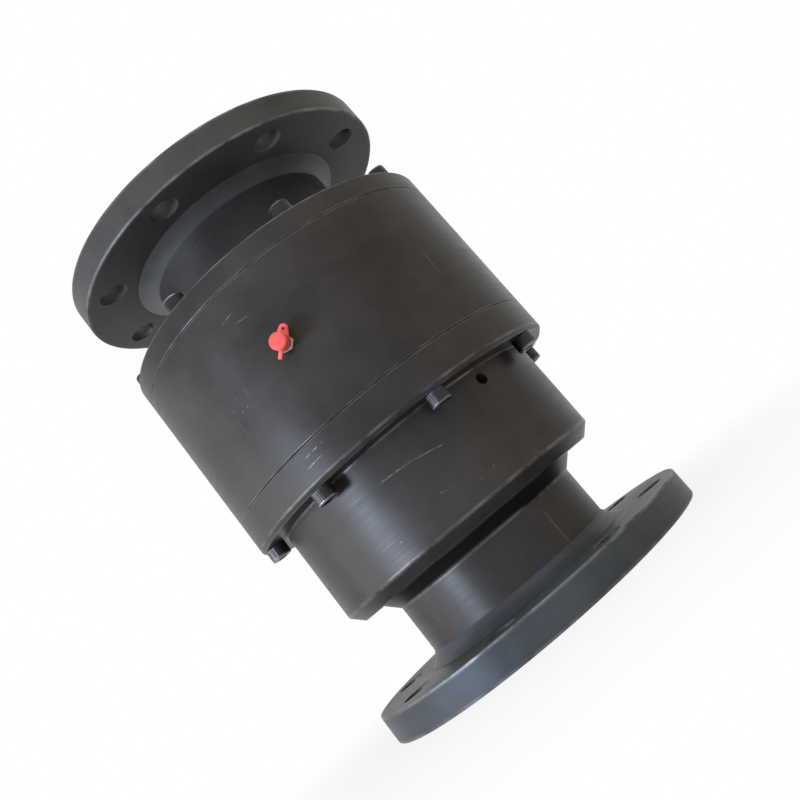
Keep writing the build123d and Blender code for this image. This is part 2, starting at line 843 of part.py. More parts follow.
with BuildPart() as dust_cap:
    with BuildSketch(nipple_plane.offset(cap_base)):
        add(cap_outline.sketch, rotation=cap_angle)
    extrude(amount=cap_tab_thickness)
    revolve(
        nipple_section(
            (0, cap_base),
            (cap_r, cap_base),
            (cap_r, cap_end - cap_edge),
            (cap_r - cap_edge, cap_end),
            (0, cap_end),
        ),
        axis=nipple_axis,
    )
    revolve(
        nipple_section(
            (0, cap_base),
            (nipple_head_diameter / 2 + turning_gap / 2, cap_base),
            (nipple_head_diameter / 2 + turning_gap / 2, cap_ceiling),
            (0, cap_ceiling),
        ),
        axis=nipple_axis,
        mode=Mode.SUBTRACT,
    )
dust_cap.part.label = "dust_cap"
export_step(dust_cap.part, "parts/dust_cap.step")
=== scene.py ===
import bpy
import bmesh
from math import cos, pi, radians, sin
from mathutils import Matrix, Vector


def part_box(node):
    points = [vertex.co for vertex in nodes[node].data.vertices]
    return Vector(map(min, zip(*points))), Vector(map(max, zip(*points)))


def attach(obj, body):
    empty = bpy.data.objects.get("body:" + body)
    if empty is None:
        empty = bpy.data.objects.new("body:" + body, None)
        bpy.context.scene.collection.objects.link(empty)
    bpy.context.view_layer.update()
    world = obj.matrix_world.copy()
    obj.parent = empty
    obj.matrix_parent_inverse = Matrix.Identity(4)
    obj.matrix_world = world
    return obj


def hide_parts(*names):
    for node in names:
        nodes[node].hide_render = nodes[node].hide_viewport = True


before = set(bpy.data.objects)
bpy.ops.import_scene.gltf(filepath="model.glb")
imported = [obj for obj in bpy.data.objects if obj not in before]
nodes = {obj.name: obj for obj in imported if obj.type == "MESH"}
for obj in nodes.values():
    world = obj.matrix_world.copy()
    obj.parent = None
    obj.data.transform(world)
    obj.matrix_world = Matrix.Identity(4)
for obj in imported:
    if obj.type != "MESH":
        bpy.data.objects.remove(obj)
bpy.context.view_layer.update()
scene = bpy.context.scene
scene.view_settings.view_transform = "Standard"
mm = 0.001
fitGap = 0.05  # millimetres between pieces that fit into each other
print("frame loaded:", len(nodes), "nodes")


def newGroup(name, inputs, outputs):
    # inputs: (name, default) pairs of numbers; outputs: names of numbers
    tree = bpy.data.node_groups.new(name, "ShaderNodeTree")
    for label, value in inputs:
        socket = tree.interface.new_socket(name=label, in_out="INPUT", socket_type="NodeSocketFloat")
        socket.default_value = value
    for label in outputs:
        tree.interface.new_socket(name=label, in_out="OUTPUT", socket_type="NodeSocketFloat")
    return tree, tree.nodes.new("NodeGroupInput"), tree.nodes.new("NodeGroupOutput")


def plug(tree, target, value):
    # A socket is linked, a number or colour is set
    if isinstance(value, bpy.types.NodeSocket):
        tree.links.new(value, target)
    else:
        target.default_value = value


def math2(tree, operation, a, b=0.0, clamp=False):
    node = tree.nodes.new("ShaderNodeMath")
    node.operation = operation
    node.use_clamp = clamp
    plug(tree, node.inputs[0], a)
    plug(tree, node.inputs[1], b)
    return node.outputs[0]


def remap(tree, value, low, high, outLow=0.0, outHigh=1.0):
    node = tree.nodes.new("ShaderNodeMapRange")
    for socket, item in zip(node.inputs[:5], (value, low, high, outLow, outHigh)):
        plug(tree, socket, item)
    return node.outputs[0]


def noise(tree, vector, scale, detail=3.0, rough=0.5):
    node = tree.nodes.new("ShaderNodeTexNoise")
    plug(tree, node.inputs["Vector"], vector)
    plug(tree, node.inputs["Scale"], scale)
    node.inputs["Detail"].default_value = detail
    node.inputs["Roughness"].default_value = rough
    return node.outputs["Fac"]


def objectPlace(tree):
    return tree.nodes.new("ShaderNodeTexCoord").outputs["Object"]


def splitXyz(tree, place):
    split = tree.nodes.new("ShaderNodeSeparateXYZ")
    tree.links.new(place, split.inputs[0])
    return split.outputs[0], split.outputs[1], split.outputs[2]


def axisDistance(tree, x, y):
    squares = math2(tree, "ADD", math2(tree, "MULTIPLY", x, x), math2(tree, "MULTIPLY", y, y))
    return math2(tree, "SQRT", squares)


def combine(tree, x, y, z):
    node = tree.nodes.new("ShaderNodeCombineXYZ")
    for socket, item in zip(node.inputs, (x, y, z)):
        plug(tree, socket, item)
    return node.outputs[0]


grainLook = {"pitch": 900.0, "streak": 6.0, "bandPitch": 60.0, "radiusShare": 0.71}


def buildTurnedGrain():
    # Fine lathe rings: the pattern runs round the axis, and changes along height and radius
    g = grainLook
    tree, given, result = newGroup(
        "turnedGrain", [("Pitch", g["pitch"]), ("Streak", g["streak"])], ["Grain", "Band"])
    x, y, z = splitXyz(tree, objectPlace(tree))
    along = math2(tree, "ADD", z, math2(tree, "MULTIPLY", axisDistance(tree, x, y), g["radiusShare"]))
    sx = math2(tree, "MULTIPLY", x, given.outputs["Streak"])
    sy = math2(tree, "MULTIPLY", y, given.outputs["Streak"])
    fine = combine(tree, sx, sy, math2(tree, "MULTIPLY", along, given.outputs["Pitch"]))
    tree.links.new(noise(tree, fine, 1.0, 4.0, 0.6), result.inputs["Grain"])
    coarse = combine(tree, sx, sy, math2(tree, "MULTIPLY", along, g["bandPitch"]))
    tree.links.new(noise(tree, coarse, 1.0, 2.0), result.inputs["Band"])
    return tree


patinaLook = {
    "blotchScale": 14.0, "speckAmount": 0.5, "speckScale": 160.0, "speckEdge": (0.16, 0.05),
    "speckPatches": (31.0, 0.62, 0.70), "scratches": ((0.6, 9.0), (-0.9, 14.0)), "scratchFineness": 420.0,
    "scratchEdge": (0.72, 0.76), "scratchPatches": (9.0, 0.53, 0.6),
}


def buildPatina():
    # Blotches of the blackening, fine specks, and short fine scratches in two directions
    p = patinaLook
    tree, given, result = newGroup(
        "patina", [("Blotch Scale", p["blotchScale"]), ("Speck Amount", p["speckAmount"])],
        ["Blotch", "Speck", "Scratch"])
    place = objectPlace(tree)
    tree.links.new(noise(tree, place, given.outputs["Blotch Scale"], 5.0, 0.62), result.inputs["Blotch"])
    cells = tree.nodes.new("ShaderNodeTexVoronoi")
    tree.links.new(place, cells.inputs["Vector"])
    cells.inputs["Scale"].default_value = p["speckScale"]
    near = remap(tree, cells.outputs["Distance"], *p["speckEdge"])
    scale, low, high = p["speckPatches"]
    rare = remap(tree, noise(tree, place, scale, 2.0), low, high)
    speck = math2(tree, "MULTIPLY", math2(tree, "MULTIPLY", near, rare), given.outputs["Speck Amount"], True)
    tree.links.new(speck, result.inputs["Speck"])
    lines = []
    for turn, stretch in p["scratches"]:
        mapping = tree.nodes.new("ShaderNodeMapping")
        mapping.inputs["Rotation"].default_value = (turn, 0.3, turn * 1.7)
        mapping.inputs["Scale"].default_value = (stretch, p["scratchFineness"], stretch)
        tree.links.new(place, mapping.inputs["Vector"])
        thin = noise(tree, mapping.outputs[0], 1.0, 2.0)
        lines.append(remap(tree, thin, *p["scratchEdge"]))
    scale, low, high = p["scratchPatches"]
    gate = remap(tree, noise(tree, place, scale, 2.0), low, high)
    both = math2(tree, "MAXIMUM", lines[0], lines[1])
    tree.links.new(math2(tree, "MULTIPLY", both, gate), result.inputs["Scratch"])
    return tree


wearLook = {"scale": 45.0, "low": 0.36, "high": 0.62, "falloff": 1.6}


def buildEdgeWear():
    # Rubbed edges: the piece's own edge attribute, broken up by noise
    w = wearLook
    tree, given, result = newGroup("edgeWear", [("Amount", 1.0)], ["Wear"])
    edge = tree.nodes.new("ShaderNodeAttribute")
    edge.attribute_name = "edgeWear"
    broken = remap(tree, noise(tree, objectPlace(tree), w["scale"], 5.0, 0.65), w["low"], w["high"])
    wear = math2(tree, "MULTIPLY", math2(tree, "POWER", edge.outputs["Fac"], w["falloff"]), broken)
    tree.links.new(math2(tree, "MULTIPLY", wear, given.outputs["Amount"], True), result.inputs["Wear"])
    return tree


strokeLook = {"wobble": 0.0012, "endLength": 0.03, "amount": 0.75}


def buildStrokeMark():
    # One scratch on a cylinder: a bowed line between two angles, at a height that drifts with the angle
    inputs = [
        ("Angle", -1.7), ("Half Angle", 0.1), ("Height", 0.1), ("Slope", 0.0), ("Bow", 0.0),
        ("Width", 0.0004)]
    tree, given, result = newGroup("strokeMark", inputs, ["Mark"])
    place = objectPlace(tree)
    x, y, z = splitXyz(tree, place)
    angle = math2(tree, "SUBTRACT", math2(tree, "ARCTAN2", y, x), given.outputs["Angle"])
    slant = math2(tree, "MULTIPLY", angle, given.outputs["Slope"])
    bow = math2(tree, "MULTIPLY", math2(tree, "MULTIPLY", angle, angle), given.outputs["Bow"])
    line = math2(tree, "ADD", given.outputs["Height"], math2(tree, "ADD", slant, bow))
    uneven = math2(tree, "SUBTRACT", noise(tree, place, 70.0, 3.0), 0.5)
    wobble = math2(tree, "MULTIPLY", uneven, strokeLook["wobble"])
    off = math2(tree, "ABSOLUTE", math2(tree, "ADD", math2(tree, "SUBTRACT", z, line), wobble))
    core = remap(tree, off, given.outputs["Width"], 0.0)
    span = math2(tree, "SUBTRACT", given.outputs["Half Angle"], math2(tree, "ABSOLUTE", angle))
    ends = remap(tree, span, 0.0, strokeLook["endLength"])
    worn = remap(tree, noise(tree, place, 260.0, 3.0), 0.35, 0.6)
    tree.links.new(math2(tree, "MULTIPLY", math2(tree, "MULTIPLY", core, ends), worn), result.inputs["Mark"])
    return tree


turnedGrain = buildTurnedGrain()
patina = buildPatina()
edgeWear = buildEdgeWear()
strokeMark = buildStrokeMark()


def useGroup(tree, group, **values):
    node = tree.nodes.new("ShaderNodeGroup")
    node.node_tree = group
    for label, value in values.items():
        node.inputs[label.replace("_", " ")].default_value = value
    return node


def mixColour(tree, fac, a, b):
    node = tree.nodes.new("ShaderNodeMix")
    node.data_type = "RGBA"
    plug(tree, node.inputs[0], fac)
    plug(tree, node.inputs[6], a)
    plug(tree, node.inputs[7], b)
    return node.outputs[2]


def bumpOf(tree, height, strength, distance):
    node = tree.nodes.new("ShaderNodeBump")
    node.inputs["Strength"].default_value = strength
    node.inputs["Distance"].default_value = distance
    tree.links.new(height, node.inputs["Height"])
    return node.outputs[0]


def newMaterial(name):
    material = bpy.data.materials.new(name)
    material.use_nodes = True
    tree = material.node_tree
    return material, tree, tree.nodes["Principled BSDF"]


def rgb(*values):
    return (*values, 1.0)


def tinted(colour, factor, lift=0.0):
    return rgb(*(channel * factor + lift for channel in colour[:3]))


blackSteel = {
    "housing": {"colour": rgb(0.042, 0.037, 0.032), "worn": rgb(0.24, 0.23, 0.21), "rough": 0.38},
    "flange": {"colour": rgb(0.054, 0.057, 0.058), "worn": rgb(0.30, 0.30, 0.29), "rough": 0.44},
    "upperFlange": {"colour": rgb(0.054, 0.051, 0.045), "worn": rgb(0.32, 0.31, 0.28), "rough": 0.46},
    "weld": {"colour": rgb(0.076, 0.072, 0.066), "worn": rgb(0.30, 0.30, 0.28), "rough": 0.40},
    "tube": {"colour": rgb(0.040, 0.036, 0.032), "worn": rgb(0.24, 0.23, 0.21), "rough": 0.40},
}
coating = {
    "dark": 0.72, "pale": 1.22, "paintedShade": 0.35, "band": 0.25, "speck": 0.6, "scratch": 0.16, "edgeWear": 0.38,
    "specular": 0.12, "metallic": 0.25, "wornMetallic": 0.9, "smoother": 0.06, "rougher": 0.08,
    "grainRough": 0.04, "bump": 0.28, "bumpDepth": 0.00012,
}


def blackenedSteel(name, look, strokes=(), shade=None):
    # Phosphated and oiled steel over a turned surface; shade is a span of heights painted darker, a painted
    # shade where the surface faces down away from the light
    c = coating
    material, tree, shader = newMaterial(name)
    grain = useGroup(tree, turnedGrain)
    coat = useGroup(tree, patina)
    wear = useGroup(tree, edgeWear, Amount=c["edgeWear"])
    dark, pale = tinted(look["colour"], c["dark"]), tinted(look["colour"], c["pale"])
    colour = mixColour(tree, remap(tree, coat.outputs["Blotch"], 0.35, 0.68), dark, pale)
    colour = mixColour(tree, remap(tree, grain.outputs["Band"], 0.4, 0.7, 0.0, c["band"]), colour, pale)
    speck = remap(tree, coat.outputs["Speck"], 0.0, 1.0, 0.0, c["speck"])
    colour = mixColour(tree, speck, colour, look["worn"])
    # Painted shade: the span of heights is mixed toward a darker copy of the steel colour
    if shade:
        z = splitXyz(tree, objectPlace(tree))[2]
        above = remap(tree, z, shade["low"], shade["low"] + shade["lowFade"])
        below = remap(tree, z, shade["high"], shade["high"] - shade["highFade"])
        inside = math2(tree, "MULTIPLY", above, below, True)
        colour = mixColour(tree, inside, colour, tinted(look["colour"], c["paintedShade"]))
    marks = math2(tree, "MULTIPLY", coat.outputs["Scratch"], c["scratch"])
    for stroke in strokes:
        mark = useGroup(tree, strokeMark, **stroke)
        faint = math2(tree, "MULTIPLY", mark.outputs["Mark"], strokeLook["amount"])
        marks = math2(tree, "MAXIMUM", marks, faint)
    marks = math2(tree, "MAXIMUM", marks, wear.outputs["Wear"], True)
    colour = mixColour(tree, marks, colour, look["worn"])
    tree.links.new(colour, shader.inputs["Base Color"])
    shader.inputs["Specular IOR Level"].default_value = c["specular"]
    tree.links.new(remap(tree, marks, 0.0, 1.0, c["metallic"], c["wornMetallic"]), shader.inputs["Metallic"])
    smoothest, roughest = look["rough"] - c["smoother"], look["rough"] + c["rougher"]
    spread = remap(tree, coat.outputs["Blotch"], 0.3, 0.7, smoothest, roughest)
    uneven = remap(tree, grain.outputs["Grain"], 0.3, 0.7, -c["grainRough"], c["grainRough"])
    tree.links.new(math2(tree, "ADD", spread, uneven), shader.inputs["Roughness"])
    height = math2(tree, "ADD", grain.outputs["Grain"], math2(tree, "MULTIPLY", coat.outputs["Blotch"], 0.6))
    tree.links.new(bumpOf(tree, height, c["bump"], c["bumpDepth"]), shader.inputs["Normal"])
    return material


screwFinish = {"dark": rgb(0.011, 0.011, 0.011), "pale": rgb(0.028, 0.027, 0.026),
               "worn": rgb(0.28, 0.28, 0.30), "edgeWear": 0.6, "metallic": 0.55}


def screwSteel():
    f = screwFinish
    material, tree, shader = newMaterial("screwSteel")
    coat = useGroup(tree, patina, Blotch_Scale=90.0, Speck_Amount=0.3)
    wear = useGroup(tree, edgeWear, Amount=f["edgeWear"])
    colour = mixColour(tree, coat.outputs["Blotch"], f["dark"], f["pale"])
    colour = mixColour(tree, wear.outputs["Wear"], colour, f["worn"])
    tree.links.new(colour, shader.inputs["Base Color"])
    shader.inputs["Metallic"].default_value = f["metallic"]
    tree.links.new(remap(tree, coat.outputs["Blotch"], 0.3, 0.7, 0.20, 0.32), shader.inputs["Roughness"])
    tree.links.new(bumpOf(tree, coat.outputs["Blotch"], 0.2, 0.0001), shader.inputs["Normal"])
    return material


def bareMetal(name, dark, pale, rough, pitch=1400.0, metallic=1.0):
    # Turned or ground bare metal
    material, tree, shader = newMaterial(name)
    grain = useGroup(tree, turnedGrain, Pitch=pitch)
    coat = useGroup(tree, patina, Blotch_Scale=40.0)
    mixed = math2(tree, "MULTIPLY", math2(tree, "ADD", grain.outputs["Grain"], coat.outputs["Blotch"]), 0.5)
    colour = mixColour(tree, remap(tree, mixed, 0.35, 0.65), dark, pale)
    tree.links.new(colour, shader.inputs["Base Color"])
    shader.inputs["Metallic"].default_value = metallic
    tree.links.new(remap(tree, mixed, 0.3, 0.7, rough - 0.05, rough + 0.07), shader.inputs["Roughness"])
    tree.links.new(bumpOf(tree, grain.outputs["Grain"], 0.25, 0.0001), shader.inputs["Normal"])
    return material


capFinish = {"dark": rgb(0.72, 0.075, 0.055), "pale": rgb(0.84, 0.120, 0.095),
             "scuffed": rgb(0.85, 0.3, 0.25), "scuff": 0.3, "glow": 0.12,
             "glowDepth": (0.002, 0.0006, 0.0004)}


def redPlastic():
    f = capFinish
    material, tree, shader = newMaterial("redPlastic")
    coat = useGroup(tree, patina, Blotch_Scale=220.0, Speck_Amount=0.2)
    colour = mixColour(tree, coat.outputs["Blotch"], f["dark"], f["pale"])
    scuff = math2(tree, "MULTIPLY", coat.outputs["Scratch"], f["scuff"])
    colour = mixColour(tree, scuff, colour, f["scuffed"])
    tree.links.new(colour, shader.inputs["Base Color"])
    tree.links.new(remap(tree, coat.outputs["Blotch"], 0.3, 0.7, 0.34, 0.46), shader.inputs["Roughness"])
    shader.inputs["Subsurface Weight"].default_value = f["glow"]
    shader.inputs["Subsurface Radius"].default_value = f["glowDepth"]
    tree.links.new(bumpOf(tree, coat.outputs["Blotch"], 0.12, 0.0001), shader.inputs["Normal"])
    return material


def softBlack(name, colour, rough):
    # Rubber and filled plastic of the seals
    material, tree, shader = newMaterial(name)
    coat = useGroup(tree, patina, Blotch_Scale=120.0)
    paler = tinted(colour, 1.6, 0.004)
    tree.links.new(mixColour(tree, coat.outputs["Blotch"], colour, paler), shader.inputs["Base Color"])
    spread = remap(tree, coat.outputs["Blotch"], 0.3, 0.7, rough - 0.06, rough + 0.06)
    tree.links.new(spread, shader.inputs["Roughness"])
    tree.links.new(bumpOf(tree, coat.outputs["Blotch"], 0.2, 0.0001), shader.inputs["Normal"])
    return material


def scratchLine(degrees, halfAngle, height, slope, bow, width):
    # Angles in radians beside the first, the rest in metres
    return {"Angle": radians(degrees), "Half_Angle": halfAngle, "Height": height, "Slope": slope, "Bow": bow,
            "Width": width}


# The long arc, then the shorter scratches of the body
bodyStrokes = (
    scratchLine(-93.0, 0.22, 0.1399, -0.0173, -0.0285, 0.0006),
    scratchLine(-89.5, 0.055, 0.1108, -0.03, 0.0, 0.0005),
    scratchLine(-111.0, 0.075, 0.1850, 0.006, 0.0, 0.0004),
    scratchLine(-113.0, 0.060, 0.1785, 0.010, 0.0, 0.0004),
    scratchLine(-84.8, 0.012, 0.1316, 0.2, 0.0, 0.0007),
)
housingStrokes = (
    scratchLine(-107.0, 0.05, 0.292, 0.02, 0.0, 0.0006),
    scratchLine(-104.0, 0.04, 0.284, -0.03, 0.0, 0.0005),
)
# Painted shade on the cone and flat face under the body, which face downwards out of the light
paintedConeShade = {"low": 0.069, "lowFade": 0.002, "high": 0.0812, "highFade": 0.001}
finish = {
    "body": blackenedSteel("bodySteel", blackSteel["housing"], bodyStrokes, paintedConeShade),
    "housing": blackenedSteel("housingSteel", blackSteel["housing"], housingStrokes),
    "flange": blackenedSteel("flangeSteel", blackSteel["flange"]),
    "upperFlange": blackenedSteel("upperFlangeSteel", blackSteel["upperFlange"]),
    "tube": blackenedSteel("tubeSteel", blackSteel["tube"]),
    "weld": blackenedSteel("weldSteel", blackSteel["weld"]),
    "screw": screwSteel(),
    "machined": bareMetal("machinedSteel", rgb(0.34, 0.34, 0.35), rgb(0.52, 0.52, 0.53), 0.33),
    "bearing": bareMetal("bearingSteel", rgb(0.50, 0.50, 0.51), rgb(0.66, 0.66, 0.67), 0.18, 2200.0),
    # Grease nipple: a pale pinkish cream, partly its own plating colour and partly a painted highlight
    "nipple": bareMetal("nipplePlateAndHighlight", rgb(0.86, 0.76, 0.68), rgb(0.95, 0.88, 0.81), 0.34, 3000.0, 0.2),
    "bronze": bareMetal("bushBronze", rgb(0.42, 0.27, 0.13), rgb(0.60, 0.42, 0.23), 0.30),
    "cage": bareMetal("cageBrass", rgb(0.55, 0.40, 0.17), rgb(0.74, 0.58, 0.30), 0.28),
    "cap": redPlastic(),
    "rubber": softBlack("sealRubber", rgb(0.012, 0.012, 0.013), 0.55),
    "slide": softBlack("slideRing", rgb(0.06, 0.09, 0.08), 0.45),
}
print("finishes:", len(finish))


# room: share of a side that one arc may take; apart: how far a support point has to stand off
arc = {"steps": 3, "room": 0.45, "apart": 1.05}


def roundedLoop(corners, edgeBreak, support):
    # Walks a closed outline of (radius, height, breakScale) and rounds each corner with a short arc.
    # Returns (radius, height, wear), where wear is 1 on the arc and 0 at the support points beside it.
    points = []
    count = len(corners)
    for index, corner in enumerate(corners):
        here = Vector(corner[:2])
        scale = corner[2] if len(corner) > 2 else 1.0
        toPrev = Vector(corners[index - 1][:2]) - here
        toNext = Vector(corners[(index + 1) % count][:2]) - here
        room = min(toPrev.length, toNext.length) * arc["room"]
        cut = min(edgeBreak * scale, room)
        a = here + toPrev.normalized() * cut
        b = here + toNext.normalized() * cut
        outer = min(cut + support, room)
        if outer > cut * arc["apart"]:
            points.append((*(here + toPrev.normalized() * outer), 0.0))
        for step in range(arc["steps"] + 1):
            t = step / arc["steps"]
            spot = a * (1 - t) ** 2 + here * (2 * t * (1 - t)) + b * t ** 2
            points.append((*spot, 1.0))
        if outer > cut * arc["apart"]:
            points.append((*(here + toNext.normalized() * outer), 0.0))
    return points


def meshObject(name, vertices, faces, material, wear=None):
    mesh = bpy.data.meshes.new(name)
    mesh.from_pydata(vertices, [], faces)
    if wear is not None:
        layer = mesh.attributes.new("edgeWear", "FLOAT", "POINT")
        layer.data.foreach_set("value", wear)
    mesh.validate()
    mesh.materials.append(material)
    piece = bpy.data.objects.new(name, mesh)
    scene.collection.objects.link(piece)
    return piece


def smooth(piece, angle=28.0):
    mesh = piece.data
    mesh.polygons.foreach_set("use_smooth", [True] * len(mesh.polygons))
    mesh.set_sharp_from_angle(angle=radians(angle))
    mesh.update()
    return piece


def faceOutwards(piece):
    builder = bmesh.new()
    builder.from_mesh(piece.data)
    bmesh.ops.recalc_face_normals(builder, faces=builder.faces)
    builder.to_mesh(piece.data)
    builder.free()
    return piece


def lathe(name, corners, material, edgeBreak=0.6, support=1.4, segments=240):
    # Closed outline in millimetres turned round +Z
    loop = roundedLoop(corners, edgeBreak, support)
    vertices, faces, wear = [], [], []
    count = len(loop)
    for turn in range(segments):
        angle = 2 * pi * turn / segments
        for radius, height, worn in loop:
            vertices.append(Vector((radius * cos(angle), radius * sin(angle), height)) * mm)
            wear.append(worn)
    for turn in range(segments):
        this, following = turn * count, (turn + 1) % segments * count
        for k in range(count):
            n = (k + 1) % count
            faces.append((this + k, following + k, following + n, this + n))
    return faceOutwards(meshObject(name, vertices, faces, material, wear))


def applyModifiers(piece):
    bpy.context.view_layer.update()
    graph = bpy.context.evaluated_depsgraph_get()
    result = bpy.data.meshes.new_from_object(piece.evaluated_get(graph))
    piece.modifiers.clear()
    piece.data = result


def cutWith(piece, cutters):
    # Cuts each cutter out of the piece and removes the cutters
    for cutter in cutters:
        modifier = piece.modifiers.new("cut", "BOOLEAN")
        modifier.operation = "DIFFERENCE"
        modifier.solver = "EXACT"
        modifier.object = cutter
    applyModifiers(piece)
    for cutter in cutters:
        bpy.data.objects.remove(cutter)
    return piece


def around(radius, count, phase):
    # Places of a ring of features, in millimetres
    return [
        (radius * cos(radians(phase + 360 / count * k)), radius * sin(radians(phase + 360 / count * k)))
        for k in range(count)
    ]


def stackedFaces(rows, perRow):
    # Sides between rows of points that lie one after another, and a cap at either end
    faces = []
    for row in range(rows - 1):
        low, high = row * perRow, (row + 1) * perRow
        for k in range(perRow):
            n = (k + 1) % perRow
            faces.append((low + k, low + n, high + n, high + k))
    faces.append(tuple(range(perRow)))
    faces.append(tuple(range((rows - 1) * perRow, rows * perRow)))
    return faces


def holeCutter(x, y, radius, low, high, flare, segments=48):
    # Spool that cuts a bolt hole and countersinks its two mouths, 1 mm past either face
    mouth = radius + flare + 1
    rows = [(mouth, low - 1), (radius, low + flare), (radius, high - flare), (mouth, high + 1)]
    vertices = []
    for r, z in rows:
        for k in range(segments):
            angle = 2 * pi * k / segments
            vertices.append(Vector((x + r * cos(angle), y + r * sin(angle), z)) * mm)
    faces = stackedFaces(len(rows), segments)
    return faceOutwards(meshObject("cutter", vertices, faces, finish["flange"]))


def radialMatrix(radius, angle, height):
    # Local z points outwards from the axis, local x runs along the circumference, local y up
    c, s = cos(radians(angle)), sin(radians(angle))
    turned = Matrix(((-s, 0, c), (c, 0, s), (0, 1, 0))).to_4x4()
    return Matrix.Translation(Vector((radius * c, radius * s, height)) * mm) @ turned


def topOf(node):
    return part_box(node)[1][2] / mm


def bottomOf(node):
    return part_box(node)[0][2] / mm


def radiusOf(node):
    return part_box(node)[1][0] / mm


level = {
    "flangeTop": topOf("lower_flange"),
    "ringTop": bottomOf("housing"),
    "housingTop": topOf("housing"),
    "coverTop": topOf("top_cover"),
    "upperFlangeLow": bottomOf("upper_flange"),
    "top": topOf("upper_flange"),
}
radii = {
    "flange": radiusOf("lower_flange"),
    "housing": radiusOf("housing"),
    "neck": radiusOf("lower_inner_weld"),
    "tube": radiusOf("upper_inner_weld"),
    "bearing": radiusOf("upper_bearing_outer_ring") + fitGap,
    "bore": 75.0,
}

flangeLook = {"holeCircle": 120.0, "holes": 8, "holeRadius": 11.0, "phase": 31.0, "countersink": 0.8,
              "edgeBreak": 1.2, "support": 1.6}


def connectingFlange(name, innerRadius, low, high, material):
    look = flangeLook
    inner, outer = innerRadius + fitGap, radii["flange"]
    outline = [(inner, low), (outer, low), (outer, high), (inner, high)]
    flange = lathe(name, outline, material, look["edgeBreak"], look["support"])
    places = around(look["holeCircle"], look["holes"], look["phase"])
    cutters = [holeCutter(x, y, look["holeRadius"], low, high, look["countersink"]) for x, y in places]
    return smooth(cutWith(flange, cutters))


lowerFlange = connectingFlange("lowerFlange", radii["neck"], 0.0, level["flangeTop"], finish["flange"])
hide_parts("lower_flange")
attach(lowerFlange, "fixed_body")

upperFlange = connectingFlange(
    "upperFlange", radii["tube"], level["upperFlangeLow"], level["top"], finish["upperFlange"])
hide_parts("upper_flange")
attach(upperFlange, "rotor")


weldLook = {"sag": 0.8, "round": 1.1, "steps": 12}


def filletWeld(name, node, wall, foot, toe, material, body):
    # Dressed weld, slightly hollow, from its foot on a face to its toe on the wall
    look = weldLook
    inward = 1 if foot[1] > toe[1] else -1
    corners = [(wall, foot[1], 0.0), (foot[0], foot[1], look["round"])]
    for step in range(1, look["steps"]):
        t = step / look["steps"]
        sag = look["sag"] * sin(pi * t)
        r = foot[0] + (toe[0] - foot[0]) * t - sag
        z = foot[1] + (toe[1] - foot[1]) * t + sag * inward
        corners.append((r, z, 0.01))
    corners.append((toe[0], toe[1], 0.2))
    weld = smooth(lathe(name, corners, material, 0.5, 0.8), 50)
    weld.data.attributes["edgeWear"].data.foreach_set("value", [0.0] * len(weld.data.vertices))
    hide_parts(node)
    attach(weld, body)


filletWeld(
    "lowerWeld", "lower_outer_weld", radii["neck"], (radiusOf("lower_outer_weld"), level["flangeTop"]),
    (radii["neck"], topOf("lower_outer_weld")), finish["flange"], "fixed_body")
filletWeld(
    "upperWeld", "upper_outer_weld", radii["tube"], (radiusOf("upper_outer_weld"), level["upperFlangeLow"]),
    (radii["tube"], bottomOf("upper_outer_weld")), finish["weld"], "rotor")
print("flanges and welds done")

bodyLook = {"radius": 118.0, "corner": 9.0, "neckTop": 70.5, "cone": 10.0, "ringBottom": 165.0,
            "ringCorner": 3.0, "seam": 0.7, "floor": 90.0, "carrier": 100.0, "cavity": 104.0,
            "cavityFloor": 182.0, "spigotTop": 200.0, "pipeEnd": 6.0}
leakPort = {"angle": -54.7, "height": 155.5, "radius": 4.3, "countersink": 0.7, "depth": 20.0}


def makeLowerBody():
    b = bodyLook
    outline = [
        (radii["bore"], b["pipeEnd"]),
        (radii["neck"], b["pipeEnd"], 0.3),
        (radii["neck"], b["neckTop"], 1.5),
        (radii["neck"] + b["cone"], b["neckTop"] + b["cone"], 1.0),
        (b["radius"] - b["corner"], b["neckTop"] + b["cone"], 0.6),
        (b["radius"], b["neckTop"] + b["cone"] + b["corner"], 1.6),
        (b["radius"], b["ringBottom"], 1.4),
        (radii["housing"] - b["ringCorner"], b["ringBottom"], 0.5),
        (radii["housing"], b["ringBottom"] + b["ringCorner"], 1.0),
        (radii["housing"], level["ringTop"] - b["seam"], 0.5),
        (radii["housing"] - b["seam"], level["ringTop"], 0.5),
        (radii["bearing"] - fitGap, level["ringTop"], 0.3),
        (radii["bearing"] - fitGap, b["spigotTop"]),
        (b["cavity"], b["spigotTop"]),
        (b["cavity"], b["cavityFloor"]),
        (b["carrier"], b["cavityFloor"]),
        (b["carrier"], b["floor"]),
        (radii["bore"], b["floor"]),
    ]
    body = lathe("lowerBody", outline, finish["body"], 0.6, 1.5)
    countersink = leakPort["countersink"]
    cutter = holeCutter(0.0, 0.0, leakPort["radius"], -leakPort["depth"], countersink * 0.4, countersink)
    cutter.data.transform(radialMatrix(b["radius"], leakPort["angle"], leakPort["height"]))
    return smooth(cutWith(body, [cutter]))


lowerBody = makeLowerBody()
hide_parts("lower_body")
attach(lowerBody, "fixed_body")

seam = bodyLook["seam"]
housing = smooth(lathe(
    "housing",
    [
        (radii["bearing"], level["ringTop"]), (radii["housing"] - seam, level["ringTop"], 0.4),
        (radii["housing"], level["ringTop"] + seam, 0.5), (radii["housing"], level["housingTop"] - seam, 0.5),
        (radii["housing"] - seam, level["housingTop"], 0.4), (radii["bearing"], level["housingTop"]),
    ],
    finish["housing"]))
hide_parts("housing")
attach(housing, "fixed_body")

coverLook = {"bore": 84.6, "wiperSeat": 94.05, "wiperDepth": 10.0, "recess": 2.0, "spigotInner": 106.0,
             "spigot": 8.0, "edge": 1.2}


